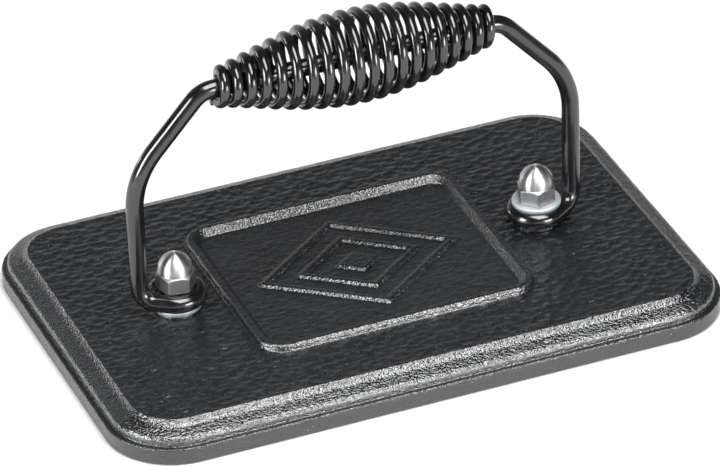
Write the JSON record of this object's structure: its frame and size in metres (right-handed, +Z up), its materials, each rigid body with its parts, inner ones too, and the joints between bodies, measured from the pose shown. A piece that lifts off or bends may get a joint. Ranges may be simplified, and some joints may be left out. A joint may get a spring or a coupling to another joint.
{
  "type": "griddle press",
  "caption": "Flat cast iron griddle press with an ogee edge and a framed panel on top, carried by a bolted bent-rod handle with a barrel-wound wire coil grip.",
  "frame": {"origin": "on the cooking face, under the middle of the plate", "axes": "+Z up, out of the plate's top; +X along the plate's long side and the grip; +Y away from the viewer of the picture"},
  "size_m": [0.2286, 0.1524, 0.1136],
  "materials": {
    "cast_iron": "seasoned, semi-gloss, grained",
    "black_rod": "gloss black",
    "black_wire": "gloss black",
    "bolt_steel": "plain",
    "nut_stainless": "bright",
    "washer_zinc": "zinc plated"
  },
  "bodies": {
    "press": {"press_plate": "cast_iron", "handle_rod": "black_rod", "left_bolt": "bolt_steel", "right_bolt": "bolt_steel", "left_cap_nut": "nut_stainless", "right_cap_nut": "nut_stainless", "left_washer": "washer_zinc", "right_washer": "washer_zinc"},
    "grip": {"grip_coil": "black_wire"}
  },
  "joints": [
    {"name": "grip_turn", "type": "hinge", "parent": "press", "child": "grip", "pos_m": [0, 0, 0.0968], "axis": [1, 0, 0], "continuous": true}
  ]
}
